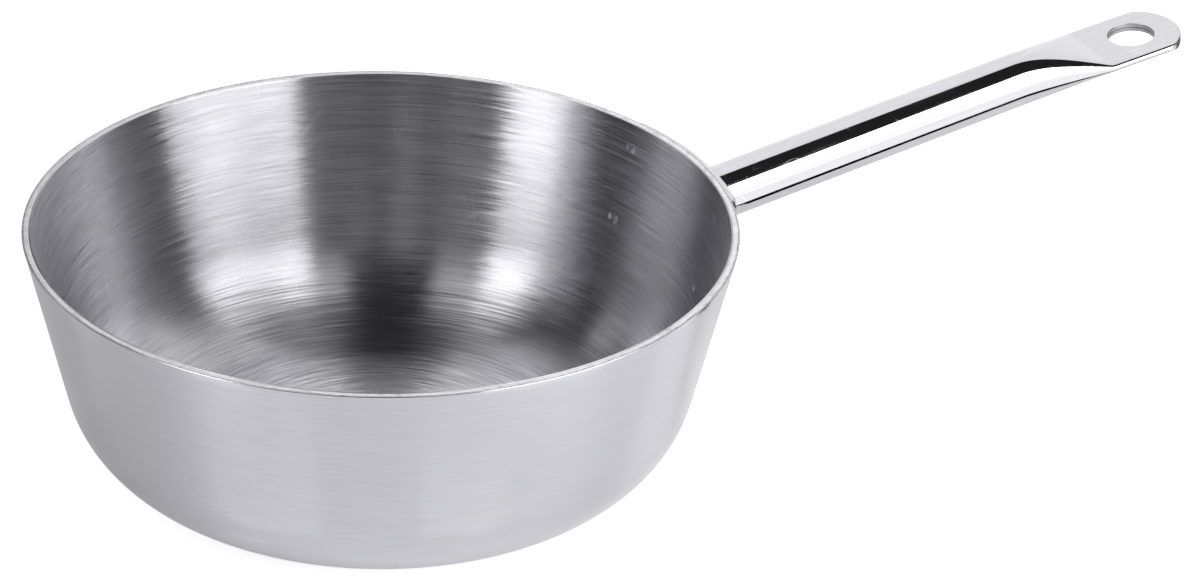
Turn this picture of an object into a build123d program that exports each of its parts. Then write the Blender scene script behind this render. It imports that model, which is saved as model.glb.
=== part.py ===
"""Saucier pan: a flared bowl of three bonded sheets with a long tube handle.

Millimetres, +Z up. The origin is the centre of the base's underside, on the bowl's axis, and the
handle points along +X. A depth is measured square to the bowl's outer face, inwards.
"""

import os
from math import copysign, cos, degrees, pi, radians, sin, tan

from build123d import *

os.makedirs("parts", exist_ok=True)

# Bowl
rim_diameter = 200.0
pan_height = 73.0
wall_flare = 13.1
corner_radius = 33.7
outer_skin_gauge = 0.5
core_gauge = 1.4
inner_skin_gauge = 0.5
rim_rounding = 0.3
rounding_gauge_share = 0.8

# Handle tube, its axis measured at the rim's radius
tube_diameter = 16.0
tube_wall = 1.2
tube_rise = 9.2
tube_below_rim = 15.0
hole_reach = 152.8

# Flattened end of the tube
flat_rise = 7.8
flat_width = 26.4
flat_thickness = 2.6
flat_drop = 0.9
squash_length = 28.0
crease_to_hole = 14.7
hang_hole_diameter = 14.0
tip_radius = 14.9
tip_corner = 8.0
tip_side_margin = 0.3

# Handle bracket, pressed to the wall's curve, with a drawn collar that the tube slips over
bracket_gauge = 2.0
bracket_margin = 4.0
bracket_corner = 6.0
collar_length = 14.0
collar_clearance = 0.1

# Spot welds that hold the bracket, in two rows about a line just under the tube
spot_diameter = 5.0
spot_spread = 50.0
spot_row_gap = 21.5
spot_drop = 2.2
spot_recess = 0.2
dimple_ball_radius = 12.0
dimple_depth = 0.15

# Bead that joins the tube to its bracket
bead_leg = 2.2
bead_toe = 0.3

# How far a cutting shape runs past what it cuts
overrun = 5.0

# Sections along the squashed stretch, and points round each of them
squash_shares = (0.0, 0.2, 0.4, 0.6, 0.8, 1.0)
section_points = 32
cosine_digits = 9

flare = radians(wall_flare)
rim_radius = rim_diameter / 2
sheet_gauge = outer_skin_gauge + core_gauge + inner_skin_gauge
corner_top = corner_radius * (1 - sin(flare))
base_radius = rim_radius - (pan_height - corner_top) * tan(flare) - corner_radius * cos(flare)

rise = radians(tube_rise)
tube_radius = tube_diameter / 2
bracket_width = spot_spread + spot_diameter + 2 * bracket_margin
bracket_height = spot_row_gap + spot_diameter + 2 * bracket_margin


def wall_radius(height, depth):
    """Radius of the straight wall at a height, where the flare takes it in below the rim."""
    return rim_radius - (pan_height - height) * tan(flare) - depth / cos(flare)


def bowl_section(depth):
    """Half section of all that lies inside a depth: flat base, round corner, flared wall."""
    with BuildSketch(Plane.XZ) as section:
        with BuildLine():
            Line((0, depth), (base_radius, depth))
            corner_centre = (base_radius, corner_radius)
            corner = CenterArc(corner_centre, corner_radius - depth, -90, 90 - wall_flare)
            rim_point = (wall_radius(pan_height, depth), pan_height)
            Polyline(corner @ 1, rim_point, (0, pan_height), (0, depth))
        make_face()
    return section.sketch


def sheet_section(outer_depth, inner_depth):
    """Half section of one sheet, between two depths, up to the ground rim."""
    with BuildSketch(Plane.XZ) as section:
        add(bowl_section(outer_depth))
        add(bowl_section(inner_depth), mode=Mode.SUBTRACT)
    return section.sketch


def wall_plane(across, height, depth):
    """Plane on the wall at a sideways place, a height and a depth, facing square outwards."""
    radius = wall_radius(height, depth)
    turn = across / radius
    outwards = (cos(turn) * cos(flare), sin(turn) * cos(flare), -sin(flare))
    sideways = (-sin(turn), cos(turn), 0)
    place = (radius * cos(turn), radius * sin(turn), height)
    return Plane(origin=place, x_dir=sideways, z_dir=outwards)


def axis_setback(depth):
    """How far inside the rim's radius the tube's axis crosses the wall at a depth."""
    return (tube_below_rim * tan(flare) + depth / cos(flare)) / (1 - tan(rise) * tan(flare))


def axis_height(depth):
    """Height at which the tube's axis crosses the wall at a depth."""
    return pan_height - tube_below_rim - axis_setback(depth) * tan(rise)


bracket_middle = axis_height(0) - spot_drop
bracket_half_turn = bracket_width / 2 / wall_radius(bracket_middle, -bracket_gauge)
band_plane = Plane(
    origin=(0, 0, 0),
    x_dir=(cos(bracket_half_turn), -sin(bracket_half_turn), 0),
    z_dir=(-sin(bracket_half_turn), -cos(bracket_half_turn), 0),
)


def bracket_band(outer_depth, inner_depth):
    """Section of a band of the wall behind the bracket, at the side where its spin starts."""
    low = bracket_middle - bracket_height / 2
    high = bracket_middle + bracket_height / 2
    with BuildSketch(band_plane) as section:
        with BuildLine():
            Polyline(
                (wall_radius(low, outer_depth), low),
                (wall_radius(high, outer_depth), high),
                (wall_radius(high, inner_depth), high),
                (wall_radius(low, inner_depth), low),
                close=True,
            )
        make_face()
    return section.sketch


def spot_planes(depth):
    """Planes at the four spot welds: two rows, one weld on each side of the handle."""
    rows = (bracket_middle - spot_row_gap / 2, bracket_middle + spot_row_gap / 2)
    sides = (-spot_spread / 2, spot_spread / 2)
    return [wall_plane(across, height, depth) for height in rows for across in sides]


# Inner skin, the sheet that touches the food, with a faint dimple behind each spot weld
with BuildPart() as inner_skin:
    revolve(sheet_section(outer_skin_gauge + core_gauge, sheet_gauge), axis=Axis.Z)
    dimple_centres = [
        spot.offset(dimple_depth - dimple_ball_radius).origin for spot in spot_planes(sheet_gauge)
    ]
    with Locations(*dimple_centres):
        Sphere(dimple_ball_radius, mode=Mode.SUBTRACT)
inner_skin.part.label = "inner_skin"
export_step(inner_skin.part, "parts/inner_skin.step")


# Aluminium core, sealed between the skins and bare only at the ground rim
with BuildPart() as aluminium_core:
    revolve(sheet_section(outer_skin_gauge, outer_skin_gauge + core_gauge), axis=Axis.Z)
aluminium_core.part.label = "aluminium_core"
export_step(aluminium_core.part, "parts/aluminium_core.step")


# Outer skin, the sheet that meets the hob, fused through at the spot welds
with BuildPart() as outer_skin:
    revolve(sheet_section(0, outer_skin_gauge), axis=Axis.Z)
    rim_edge = outer_skin.edges().filter_by(GeomType.CIRCLE).sort_by(SortBy.RADIUS)[-1]
    fillet(rim_edge, radius=min(rim_rounding, outer_skin_gauge * rounding_gauge_share))
    with BuildSketch(*spot_planes(0)):
        Circle(spot_diameter / 2)
    extrude(amount=overrun, both=True, mode=Mode.SUBTRACT)
outer_skin.part.label = "outer_skin"
export_step(outer_skin.part, "parts/outer_skin.step")


# Directions of the handle: the tube rises from the wall, and its flat end rises a little less
side = (0, 1, 0)
tube_direction = Vector(cos(rise), 0, sin(rise))
tube_up = Vector(-sin(rise), 0, cos(rise))
flat_direction = Vector(cos(radians(flat_rise)), 0, sin(radians(flat_rise)))
flat_up = Vector(-sin(radians(flat_rise)), 0, cos(radians(flat_rise)))

# Places along the handle
axis_at_rim = Vector(rim_radius, 0, pan_height - tube_below_rim)
hole_centre = axis_at_rim + tube_direction * hole_reach - tube_up * flat_drop
crease_centre = hole_centre - flat_direction * crease_to_hole
squash_reach = (crease_centre - axis_at_rim).dot(tube_direction) - squash_length
squash_start = axis_at_rim + tube_direction * squash_reach
bracket_face_setback = axis_setback(-bracket_gauge) / cos(rise)
root_setback = bracket_face_setback + bracket_gauge + 2 * tube_diameter
root_plane = Plane(
    origin=axis_at_rim - tube_direction * root_setback, x_dir=side, z_dir=tube_direction
)
flat_plane = Plane(origin=hole_centre, x_dir=flat_direction, z_dir=flat_up)


def squash_plane(share):
    """Plane across the tube at a share of its squashed stretch, turning to the flat's rise."""
    centre = squash_start + (crease_centre - squash_start) * share
    direction = tube_direction + (flat_direction - tube_direction) * share
    return Plane(origin=centre, x_dir=side, z_dir=direction)


def squashed_section(share, inset):
    """Tube's section at a share of the squash, drawn in by a wall.

    Half width a and half height b go from the tube's radius to the flat's, along a quarter
    cosine. The outline is |x/a|^(2a/b) + |y/b|^2 = 1: a circle where a equals b, and a strip with
    round folded edges where a is much larger.
    """
    squash = 1 - cos(pi * share / 2)
    half_width = (tube_diameter + (flat_width - tube_diameter) * squash) / 2 - inset
    half_height = (tube_diameter + (flat_thickness - tube_diameter) * squash) / 2 - inset
    power = half_height / half_width
    points = []
    for step in range(section_points):
        angle = 2 * pi * step / section_points
        cosine = round(cos(angle), cosine_digits)
        across = copysign(abs(cosine) ** power, cosine)
        points.append((half_width * across, half_height * sin(angle)))
    with BuildSketch(squash_plane(share)) as section:
        if share == 0:
            Circle(half_width)
        else:
            with BuildLine():
                Spline(*points, periodic=True)
            make_face()
    return section.sketch


def round_bar(radius, end_reach, mode):
    """Add or cut a round bar on the tube's axis, from inside the bowl out to a reach."""
    with BuildSketch(root_plane) as section:
        Circle(radius)
    extrude(section.sketch, amount=root_setback + end_reach, mode=mode)


def tip_outline():
    """Outline of the flat end about its hole: a circle, cut at the sides, with round corners.

    It is drawn smaller by the corners' radius and grown by it, which rounds each corner there is.
    It stands a margin clear of the folded sides, so that its corners cross them at an angle.
    """
    strip_width = flat_width + 2 * tip_side_margin
    with BuildSketch() as outline:
        Circle(tip_radius - tip_corner)
        Rectangle(2 * tip_radius, strip_width - 2 * tip_corner, mode=Mode.INTERSECT)
        offset(amount=tip_corner)
    return outline.sketch


def tube_body(inset, mode):
    """Add the tube's body, or cut its hollow with the wall as inset: round, squashed, flat."""
    round_bar(tube_radius - inset, squash_reach, mode)
    loft([squashed_section(share, inset) for share in squash_shares], mode=mode)
    flat_length = crease_to_hole + tip_radius + overrun
    extrude(squashed_section(squash_shares[-1], inset), amount=flat_length, mode=mode)


# Handle tube: open at its root, squashed flat at its free end, with a hole to hang it by
with BuildPart() as handle_tube:
    tube_body(0, Mode.ADD)
    tube_body(tube_wall, Mode.SUBTRACT)
    with BuildSketch(flat_plane):
        Rectangle(2 * tip_radius, 2 * flat_width, align=(Align.MIN, Align.CENTER))
        add(tip_outline(), mode=Mode.SUBTRACT)
    extrude(amount=2 * flat_thickness, both=True, mode=Mode.SUBTRACT)
    with BuildSketch(flat_plane):
        Circle(hang_hole_diameter / 2)
    extrude(amount=2 * flat_thickness, both=True, mode=Mode.SUBTRACT)
    revolve(bowl_section(-bracket_gauge), axis=Axis.Z, mode=Mode.SUBTRACT)
handle_tube.part.label = "handle_tube"
export_step(handle_tube.part, "parts/handle_tube.step")


# Handle bracket: a plate that follows the wall, with the collar drawn out of its middle
with BuildPart() as handle_bracket:
    plate = revolve(
        bracket_band(-bracket_gauge, 0), axis=Axis.Z, revolution_arc=degrees(2 * bracket_half_turn)
    )
    plate_corners = plate.edges().filter_by(GeomType.LINE).sort_by(SortBy.LENGTH)[:4]
    fillet(plate_corners, radius=bracket_corner)
    with BuildSketch(*spot_planes(0)):
        Circle(spot_diameter / 2)
    extrude(amount=overrun, both=True, mode=Mode.SUBTRACT)
    collar_reach = collar_length - bracket_face_setback
    collar_radius = tube_radius - tube_wall - collar_clearance
    round_bar(collar_radius, collar_reach, Mode.ADD)
    round_bar(collar_radius - bracket_gauge, collar_reach + overrun, Mode.SUBTRACT)
    revolve(bowl_section(0), axis=Axis.Z, mode=Mode.SUBTRACT)
handle_bracket.part.label = "handle_bracket"
export_step(handle_bracket.part, "parts/handle_bracket.step")


# Spot welds: four nuggets through the bracket and the outer skin, a little dished outside
with BuildPart() as spot_welds:
    with BuildSketch(*spot_planes(0)):
        Circle(spot_diameter / 2)
    extrude(amount=overrun, both=True)
    revolve(
        bracket_band(spot_recess - bracket_gauge, outer_skin_gauge),
        axis=Axis.Z,
        revolution_arc=degrees(2 * bracket_half_turn),
        mode=Mode.INTERSECT,
    )
spot_welds.part.label = "spot_welds"
export_step(spot_welds.part, "parts/spot_welds.step")


# Handle weld: a bead round the tube's root, where it stands on the bracket
with BuildPart() as handle_weld:
    bead_plane = wall_plane(0, axis_height(-bracket_gauge), -bracket_gauge)
    lean = radians(tube_rise + wall_flare)
    bead_sections = []
    for lift, leg in ((-bead_leg, 2 * bead_leg), (bead_leg, bead_toe)):
        with BuildSketch(bead_plane.offset(lift)) as bead_section:
            with Locations((0, lift * tan(lean))):
                Ellipse(tube_radius + leg, tube_radius / cos(lean) + leg)
        bead_sections.append(bead_section.sketch)
    loft(bead_sections)
    round_bar(tube_radius, squash_reach, Mode.SUBTRACT)
    revolve(bowl_section(-bracket_gauge), axis=Axis.Z, mode=Mode.SUBTRACT)
handle_weld.part.label = "handle_weld"
export_step(handle_weld.part, "parts/handle_weld.step")
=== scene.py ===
"""Looks of the saucier pan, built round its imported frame.

Shapes are worked out in millimetres and put into their meshes in metres. The origin is the centre
of the base's underside, +Z is up out of the bowl and the handle points along +X. A depth is
measured square to the bowl's outer face, inwards.
"""

from math import cos, pi, radians, sin, sqrt, tan

import bmesh
import bpy
import numpy as np
from mathutils import Euler, Matrix, Vector


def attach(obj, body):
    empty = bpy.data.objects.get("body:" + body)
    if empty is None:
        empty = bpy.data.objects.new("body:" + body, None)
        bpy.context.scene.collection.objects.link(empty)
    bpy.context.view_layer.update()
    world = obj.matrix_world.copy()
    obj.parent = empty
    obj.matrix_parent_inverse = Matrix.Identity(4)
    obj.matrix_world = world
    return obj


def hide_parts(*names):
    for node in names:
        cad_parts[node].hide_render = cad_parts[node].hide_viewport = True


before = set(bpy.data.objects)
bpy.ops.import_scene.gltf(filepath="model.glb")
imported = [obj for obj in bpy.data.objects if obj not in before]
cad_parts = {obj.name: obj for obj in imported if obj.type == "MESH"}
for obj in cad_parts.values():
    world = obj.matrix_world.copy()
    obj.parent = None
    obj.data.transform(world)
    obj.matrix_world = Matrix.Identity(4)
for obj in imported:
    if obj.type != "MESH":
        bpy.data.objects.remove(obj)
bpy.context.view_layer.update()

# One millimetre, in metres
mm = 0.001

# Bowl
rim_radius = 100.0
pan_height = 73.0
flare = radians(13.1)
corner_radius = 33.7
outer_gauge = 0.5
core_gauge = 1.4
inner_gauge = 0.5
core_depth = outer_gauge + core_gauge
sheet_gauge = core_depth + inner_gauge
rim_rounding = 0.3
food_edge_rounding = 0.15
bond_groove = 0.08
base_radius = (
    rim_radius
    - (pan_height - corner_radius * (1 - sin(flare))) * tan(flare)
    - corner_radius * cos(flare)
)

# Handle tube
tube_radius = 8.0
tube_wall = 1.2
rise = radians(9.2)
tube_below_rim = 15.0
hole_reach = 152.8
flat_rise = radians(7.8)
flat_half_width = 13.2
flat_half_thickness = 1.3
flat_drop = 0.9
squash_length = 28.0
crease_to_hole = 14.7
crease_softness = 1.2
hole_radius = 7.0
tip_radius = 14.9
tip_corner_radius = 8.0
cut_edge_rounding = 0.2

# Bracket, spot welds and bead at the root
bracket_gauge = 2.0
bracket_half_width = 31.5
bracket_half_height = 17.25
bracket_corner = 6.0
bracket_edge_rounding = 0.7
spot_radius = 2.5
spot_half_spread = 25.0
spot_half_gap = 10.75
spot_drop = 2.2
dimple_depth = 0.15
dimple_ball_radius = 12.0
spot_dish = 0.15
spot_dish_margin = 1.4
collar_length = 14.0
collar_clearance = 0.1
plate_split = 15.0
bead_leg = 2.3
bead_power = 1.5
ripple_count = 46
ripple_depth = 0.12
ripple_lag = 0.06
nugget_gap = 0.01
nugget_rounding = 0.08
nugget_bowl = 0.1
contact_sink = 0.02

# Finishes
bump_height = 0.01
core_bond_width = 0.18
bracket_tint_reach = 4.5
weld_tint_reach = 3.0
raw_wall_margins = (0.1, 0.25)
raw_end_margins = (0.3, 0.1)
raw_end_start = (4.0, 5.0)

# Rows of a sheet's floor, corner and wall: where it is seen, where it is bonded, where food goes
seen_rows = (20, 44, 26)
bonded_rows = (8, 30, 8)
food_rows = (16, 40, 95)
turn_steps = 384
rim_steps = 4

# Steps of the handle's grids
tube_steps = 24
squash_steps = 56
flat_steps = 14
fold_steps = 7
fold_end = 0.36 * pi
beside_hole_steps = 12
hole_columns = 18
crease_samples = 15
cut_edge_steps = 3

# Steps of the bracket's, the welds' and the bead's grids
middle_line_steps = 10
plate_end_steps = 8
plate_corner_steps = 9
plate_top_steps = 8
split_steps = 12
across_split_steps = 20
patch_steps = 14
patch_crowding = 1.5
bracket_edge_steps = 5
spot_steps = 48
spot_face_rows = 12
spot_edge_steps = 4
ripple_steps = 8
bead_steps = 12

# How near points are welded, in metres, and the turns in degrees past which an edge stays sharp
welding_distance = 2e-7
sharp_turn = 30
bead_sharp_turn = 70

side = np.array([0.0, 1.0, 0.0])
along_tube = np.array([cos(rise), 0.0, sin(rise)])
up_tube = np.array([-sin(rise), 0.0, cos(rise)])
along_flat = np.array([cos(flat_rise), 0.0, sin(flat_rise)])
up_flat = np.array([-sin(flat_rise), 0.0, cos(flat_rise)])
axis_at_rim = np.array([rim_radius, 0.0, pan_height - tube_below_rim])
hole_centre = axis_at_rim + along_tube * hole_reach - up_tube * flat_drop
crease_centre = hole_centre - along_flat * crease_to_hole
squash_reach = (crease_centre - axis_at_rim) @ along_tube - squash_length
squash_start = axis_at_rim + along_tube * squash_reach


def wall_radius(height, depth):
    """Radius of the flared wall at a height and a depth."""
    return rim_radius - (pan_height - height) * tan(flare) - depth / cos(flare)


def axis_setback(depth):
    """How far inside the rim's radius the tube's axis crosses the wall at a depth."""
    return (tube_below_rim * tan(flare) + depth / cos(flare)) / (1 - tan(rise) * tan(flare))


axis_height = pan_height - tube_below_rim - axis_setback(0) * tan(rise)
bracket_middle = axis_height - spot_drop
plate_radius = wall_radius(bracket_middle, -bracket_gauge)


def spot_places(depth):
    """Turn and height of the four spot welds on the wall at a depth."""
    heights = (bracket_middle - spot_half_gap, bracket_middle + spot_half_gap)
    spreads = (-spot_half_spread, spot_half_spread)
    return [(across / wall_radius(height, depth), height) for height in heights for across in spreads]


def around_z(radius, turn, height):
    """Points at radii, turns round Z and heights, as one array."""
    places = np.broadcast_arrays(radius * np.cos(turn), radius * np.sin(turn), height)
    return np.stack(places, axis=-1)


def on_wall(turn, height, depth):
    """Points of the flared wall at turns round Z, heights and depths, as one array."""
    return around_z(wall_radius(height, depth), turn, height)


def smooth_step(low, high, value):
    """Cubic ramp from 0 at low to 1 at high."""
    share = np.clip((value - low) / (high - low), 0, 1)
    return share * share * (3 - 2 * share)


def running_length(across, height):
    """Length along a line of points (across, height), from its start to each point."""
    return np.concatenate([[0], np.cumsum(np.hypot(np.diff(across), np.diff(height)))])


def new_object(name, data):
    """Object of a mesh, lamp or camera, put into the scene."""
    made = bpy.data.objects.new(name, data)
    bpy.context.scene.collection.objects.link(made)
    return made


def build(name, grids, finish, nodes, crease=sharp_turn):
    """One closed piece from grids of points, welded where they meet.

    A grid is an array (rows, columns, 3) in millimetres whose column direction crossed with its
    row direction points out of the metal. Edges that turn by more than crease degrees stay sharp.
    """
    points, quads, start = [], [], 0
    for grid in grids:
        rows, columns = grid.shape[:2]
        index = start + np.arange(rows * columns).reshape(rows, columns)
        corners = [index[:-1, :-1], index[:-1, 1:], index[1:, 1:], index[1:, :-1]]
        quads.append(np.stack(corners, axis=-1).reshape(-1, 4))
        points.append(grid.reshape(-1, 3))
        start += rows * columns
    mesh = bpy.data.meshes.new(name)
    mesh.from_pydata((np.concatenate(points) * mm).tolist(), [], np.concatenate(quads).tolist())
    welder = bmesh.new()
    welder.from_mesh(mesh)
    bmesh.ops.remove_doubles(welder, verts=welder.verts, dist=welding_distance)
    bmesh.ops.recalc_face_normals(welder, faces=welder.faces)
    welder.to_mesh(mesh)
    welder.free()
    mesh.shade_smooth()
    mesh.set_sharp_from_angle(angle=radians(crease))
    mesh.materials.append(finish)
    piece = new_object(name, mesh)
    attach(piece, "root")
    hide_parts(*nodes)


def bowl_line(depth, rows, top):
    """Points (radius, height) from the axis to a height near the rim at a depth.

    A level floor runs out to the base's radius, an arc about (base radius, corner radius) takes it
    round by 90 degrees less the flare, and a straight line climbs with the flare.
    """
    floor_rows, corner_rows, wall_rows = rows
    floor_radius = np.linspace(0, base_radius, floor_rows, endpoint=False)
    floor = np.stack([floor_radius, np.full(floor_rows, depth)], axis=1)
    angle = np.linspace(-pi / 2, -flare, corner_rows, endpoint=False)
    arc = np.stack([np.cos(angle), np.sin(angle)], axis=1)
    corner = (base_radius, corner_radius) + (corner_radius - depth) * arc
    wall_start = corner_radius - (corner_radius - depth) * sin(flare)
    height = np.linspace(wall_start, top, wall_rows)
    wall = np.stack([wall_radius(height, depth), height], axis=1)
    return np.concatenate([floor, corner, wall])


def rounded_top(depth, radius, inner):
    """Quarter arc that rounds the rim's edge at a depth, on its outer or its inner side."""
    angle = np.linspace(0, pi / 2, rim_steps + 1)
    from_face = radius * (1 - np.cos(angle))
    height = pan_height - radius * (1 - np.sin(angle))
    sign = -1 if inner else 1
    line = np.stack([wall_radius(height, depth + sign * from_face), height], axis=1)
    return line[::-1] if inner else line


def sheet(outer_depth, inner_depth, outer_rounding, inner_rounding, outer_rows, inner_rows, turns):
    """Grid of one sheet: its closed half section, turned through angles about Z.

    The section runs from the axis out over the rim and back to the axis.
    """
    outer = bowl_line(outer_depth, outer_rows, pan_height - outer_rounding)
    inner = bowl_line(inner_depth, inner_rows, pan_height - inner_rounding)
    outer_top = rounded_top(outer_depth, outer_rounding, False)
    inner_top = rounded_top(inner_depth, inner_rounding, True)
    section = np.concatenate([outer[:-1], outer_top, inner_top, inner[-2::-1]])
    return around_z(section[:, :1], turns, section[:, 1:])


def finer_at_welds(turns):
    """Turns, with finer steps in place of those that lie near a spot weld's turn."""
    half_band = 0.045
    margin = 0.001
    fine_columns = 19
    weld_turn = spot_half_spread / wall_radius(bracket_middle, sheet_gauge)
    fine = np.linspace(weld_turn - half_band, weld_turn + half_band, fine_columns)
    from_weld = np.abs(np.abs((turns + pi) % (2 * pi) - pi) - weld_turn)
    kept = turns[from_weld >= half_band + margin]
    return np.sort(np.concatenate([kept, fine, 2 * pi - fine]))


def dimpled(points):
    """Inner skin's points, pushed outwards at the spot welds by the cap of a large ball.

    The push at a distance d from a weld is sqrt(ball radius^2 - d^2) - (ball radius - depth),
    where that is above zero, square to the wall.
    """
    turn = np.arctan2(points[..., 1], points[..., 0])
    radius = np.hypot(points[..., 0], points[..., 1])
    on_food_side = np.abs(radius - wall_radius(points[..., 2], sheet_gauge)) < inner_gauge / 2
    push = np.zeros(turn.shape)
    for spot_turn, spot_height in spot_places(sheet_gauge):
        across = (turn - spot_turn) * radius
        upwards = (points[..., 2] - spot_height) / cos(flare)
        cap = np.sqrt(np.maximum(dimple_ball_radius**2 - across**2 - upwards**2, 0))
        push += np.maximum(cap - dimple_ball_radius + dimple_depth, 0) * on_food_side
    return points + push[..., None] * around_z(cos(flare), turn, -sin(flare))


def quarter_section(half_width, half_height, shares):
    """Points of a quarter section at shares of its length, from its side to its top.

    The outline is |x/a|^(2a/b) + |y/b|^2 = 1. It is followed by y while it is steep and then by x,
    and its length is added up to find the shares.
    """
    steep_rows = 200
    level_rows = 400
    power = half_height / half_width
    steep = half_height * np.linspace(0, sqrt(0.5), steep_rows)
    steep_across = half_width * (1 - (steep / half_height) ** 2) ** (power / 2)
    level_across = np.linspace(steep_across[-1], 0, level_rows)[1:]
    level = half_height * np.sqrt(1 - (level_across / half_width) ** (2 / power))
    across = np.concatenate([steep_across, level_across])
    height = np.concatenate([steep, level])
    length = running_length(across, height)
    wanted = shares * length[-1]
    return np.interp(wanted, length, across), np.interp(wanted, length, height)


def whole_section(quarter):
    """Full loop from a quarter: side, top, other side, bottom and back to the first side."""
    across, height = quarter
    return (
        np.concatenate([across, -across[-2::-1], -across[1:], across[-2::-1]]),
        np.concatenate([height, height[-2::-1], -height[1:], -height[-2::-1]]),
    )


def flat_columns(inset, hole):
    """Quarter section of the flat end, with columns that fall on the hole's edge.

    The folded edge is stepped by its height, the plate beside the hole evenly, and the plate over
    the hole as hole radius times a cosine, so that the columns meet the circle at even angles.
    """
    half_width = flat_half_width - inset
    half_height = flat_half_thickness - inset
    power = half_height / half_width
    fold_height = half_height * np.sin(np.linspace(0, fold_end, fold_steps + 1))
    fold = half_width * (1 - (fold_height / half_height) ** 2) ** (power / 2)
    plate = np.linspace(fold[-1], hole, beside_hole_steps + 1)[1:]
    over_hole = hole * np.cos(np.linspace(0, pi / 2, hole_columns + 1))[1:]
    over_hole[-1] = 0
    across = np.concatenate([fold, plate, over_hole])
    level = half_height * np.sqrt(1 - (across / half_width) ** (2 / power))
    height = np.concatenate([fold_height, level[fold.size:]])
    length = running_length(across, height)
    return across, height, length / length[-1]


def squashed(share, inset):
    """Half width and half height at a share of the squash, softened where it meets the flat.

    Both go from the tube's radius to the flat's along 1 - cos(90 degrees times the share), stay
    there past the crease, and are averaged over the crease's softness.
    """
    spread = crease_softness / squash_length * np.linspace(-1, 1, crease_samples)
    squash = np.mean(1 - np.cos(pi / 2 * np.clip(share + spread, 0, 1)))
    return (
        tube_radius + (flat_half_width - tube_radius) * squash - inset,
        tube_radius + (flat_half_thickness - tube_radius) * squash - inset,
    )


def tip_reach(across):
    """How far the rounded tip reaches past the hole's centre at a place across the flat.

    It is a circle about the hole's centre whose corners are smaller circles that touch it and the
    folded sides.
    """
    corner_across = flat_half_width - tip_corner_radius
    corner_along = sqrt((tip_radius - tip_corner_radius) ** 2 - corner_across**2)
    touch = corner_across * tip_radius / (tip_radius - tip_corner_radius)
    beyond = np.maximum(np.abs(across) - corner_across, 0)
    corner = corner_along + np.sqrt(np.maximum(tip_corner_radius**2 - beyond**2, 0))
    middle = np.sqrt(np.maximum(tip_radius**2 - across**2, 0))
    return np.where(np.abs(across) > touch, corner, middle)


def slid_to_wall(points, depth):
    """Points moved back along the tube's direction until they meet the wall at a depth.

    The wall is a cone, so the way back is the smaller root of a quadratic.
    """
    reach = wall_radius(0, depth) + points[..., 2] * tan(flare)
    climb = along_tube[2] * tan(flare)
    a = along_tube[0] ** 2 - climb**2
    b = reach * climb - points[..., 0] * along_tube[0]
    c = points[..., 0] ** 2 + points[..., 1] ** 2 - reach**2
    back = (-b - np.sqrt(b**2 - a * c)) / a
    return points - back[..., None] * along_tube


def tube_ring(angles, radius, reach=0.0):
    """Circle of points about the tube's axis.

    The reach is measured along the axis from where it meets the rim's radius.
    """
    across, upwards = np.cos(angles)[:, None], np.sin(angles)[:, None]
    return axis_at_rim + reach * along_tube + radius * (across * side + upwards * up_tube)


def tube_skin(inset, hole, tip_inset):
    """Grids of one side of the tube's wall: root to the hole's near edge, and far edge to tip."""
    *quarter, shares = flat_columns(inset, hole)
    flat_across, flat_height = whole_section(quarter)
    flat = flat_across[:, None] * side + flat_height[:, None] * up_flat
    half_chord = np.sqrt(np.maximum(hole**2 - flat_across**2, 0))

    radius = tube_radius - inset
    ring_across, ring_height = whole_section(quarter_section(radius, radius, shares))
    ring = squash_start + ring_across[:, None] * side + ring_height[:, None] * up_tube
    run = np.linspace(1, 0, tube_steps + 1)[:, None, None]
    round_rows = ring + run * (slid_to_wall(ring, -bracket_gauge) - ring)

    squash_rows = []
    for share in np.linspace(0, 1, squash_steps + 1)[1:]:
        across, height = whole_section(quarter_section(*squashed(share, inset), shares))
        centre = squash_start + (crease_centre - squash_start) * share
        forward = along_tube + (along_flat - along_tube) * share
        up = np.array([-forward[2], 0, forward[0]]) / np.linalg.norm(forward)
        squash_rows.append(centre + across[:, None] * side + height[:, None] * up)

    run = np.linspace(0, 1, flat_steps + 1)[:, None]
    near = -crease_to_hole + run * (crease_to_hole - half_chord)
    reach = tip_reach(flat_across) - tip_inset
    far = half_chord + run * (reach - half_chord)
    near_rows = hole_centre + near[..., None] * along_flat + flat
    far_rows = hole_centre + far[..., None] * along_flat + flat
    near_rows[0] = (squash_rows[-1] + near_rows[0]) / 2
    front = np.concatenate([round_rows, np.array(squash_rows[:-1]), near_rows])
    return front, far_rows


def handle_grids():
    """All grids of the handle tube: its two skins, the rounded cut edges that join them, the root.

    A cut edge is a quarter arc: the outer skin goes in by 1 - cos and the edge out by 1 - sin.
    """
    skins = []
    for angle in np.linspace(0, pi / 2, cut_edge_steps + 1):
        back = cut_edge_rounding * (1 - sin(angle))
        skins.append(tube_skin(cut_edge_rounding * (1 - cos(angle)), hole_radius + back, back))
    skins.append(tube_skin(tube_wall, hole_radius, 0))
    fronts, rears = zip(*skins)
    quarter = (fronts[0].shape[1] - 1) // 4
    grids = [fronts[0], rears[0], fronts[-1][::-1], rears[-1][::-1]]
    grids.append(np.stack([rear[-1] for rear in rears]))
    grids.append(np.stack([fronts[-1][0], fronts[0][0]]))
    for middle in (quarter, 3 * quarter):
        over_hole = slice(middle - hole_columns, middle + hole_columns + 1)
        grids.append(np.stack([front[-1, over_hole] for front in fronts]))
        grids.append(np.stack([rear[0, over_hole] for rear in rears[::-1]]))
    return grids


def straight(start, end, steps):
    """Evenly spaced places from a start to an end, without the end."""
    share = np.arange(steps)[:, None] / steps
    return np.array(start) + share * (np.array(end) - np.array(start))


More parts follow.
